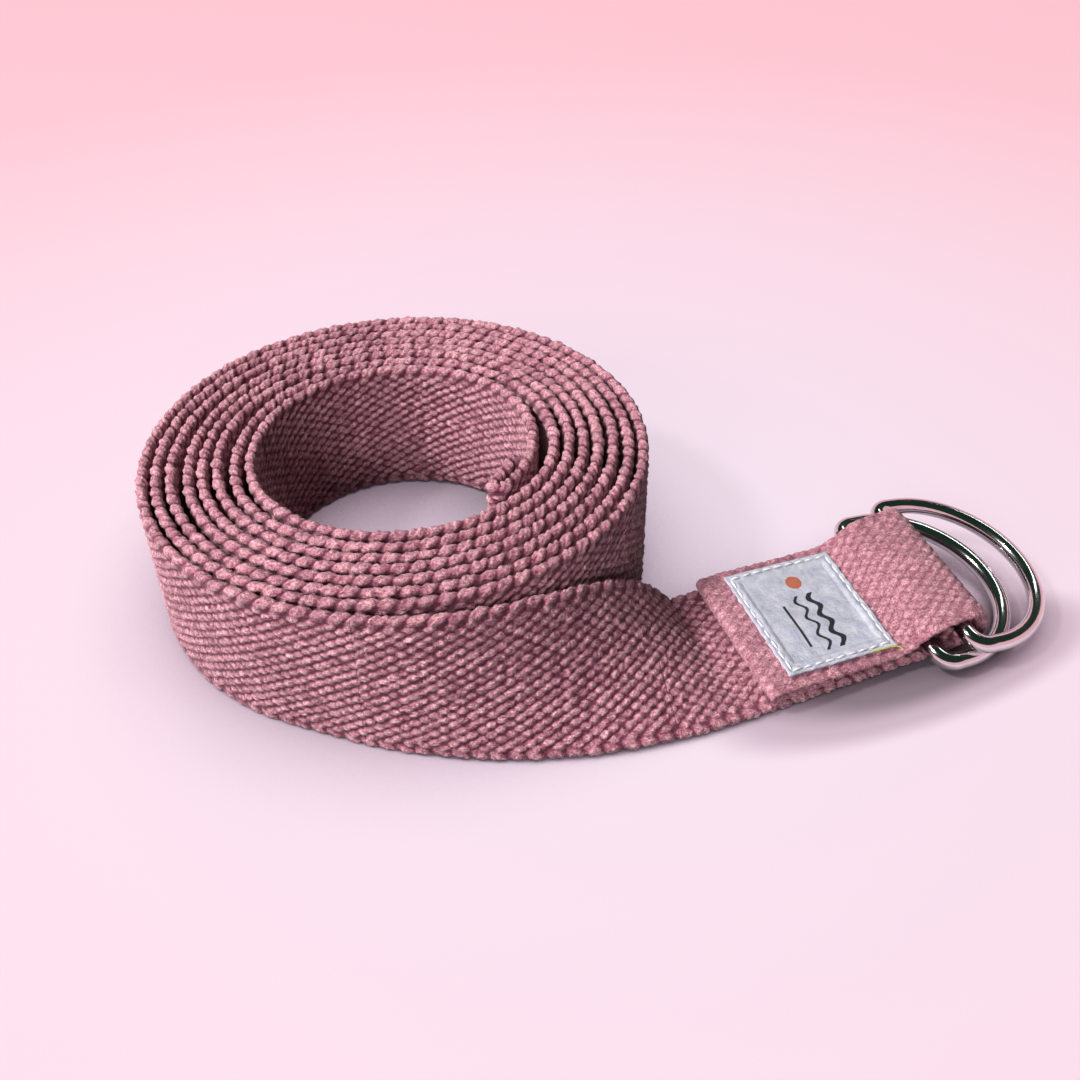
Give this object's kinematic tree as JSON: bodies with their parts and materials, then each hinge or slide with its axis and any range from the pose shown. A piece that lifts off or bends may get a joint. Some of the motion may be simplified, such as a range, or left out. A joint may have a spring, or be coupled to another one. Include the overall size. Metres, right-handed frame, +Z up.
{
  "type": "stretching strap",
  "caption": "Cotton webbing stretching strap wound into an upright coil, its end sewn round two D-rings with a small fabric label.",
  "frame": {"origin": "bottom centre of the box round the whole strap as it stands rolled up", "axes": "+X from the coil towards the rings, +Y towards the back, +Z up along the coil's axis"},
  "size_m": [0.2236, 0.134, 0.0381],
  "materials": {
    "cotton_webbing": "matte woven cotton, dusty rose",
    "ring_metal": "polished nickel-chrome plate on steel wire",
    "label_cloth": "off-white cotton satin",
    "white_thread": "spun polyester sewing thread, white",
    "rose_thread": "spun polyester sewing thread, rose"
  },
  "bodies": {
    "coil": {"webbing_coil": "cotton_webbing", "tail_hem_thread": "rose_thread"},
    "lead": {"webbing_lead": "cotton_webbing"},
    "loop": {"webbing_loop": "cotton_webbing", "label_patch": "label_cloth", "label_seam_needle_thread": "white_thread", "label_seam_bobbin_thread": "white_thread"},
    "ring_upper": {"d_ring_upper": "ring_metal"},
    "ring_lower": {"d_ring_lower": "ring_metal"}
  },
  "joints": [
    {"name": "lead_swing", "type": "hinge", "parent": "coil", "child": "lead", "pos_m": [-0.07035, -0.05517, 0.019], "axis": [0, 0, 1], "range_deg": [-60, 0]},
    {"name": "loop_lift", "type": "hinge", "parent": "lead", "child": "loop", "pos_m": [0.02495, -0.03918, 0.00558], "axis": [0.3785, -0.9137, -0.1478], "range_deg": [0, 80]},
    {"name": "upper_ring_swing", "type": "hinge", "parent": "loop", "child": "ring_upper", "pos_m": [0.08056, -0.01795, 0.01069], "axis": [0.3378, -0.9296, -0.1477], "range_deg": [0, 140]},
    {"name": "lower_ring_swing", "type": "hinge", "parent": "loop", "child": "ring_lower", "pos_m": [0.0718, -0.0211, 0.00772], "axis": [0.3785, -0.9137, -0.1478], "range_deg": [-60, 0]}
  ]
}
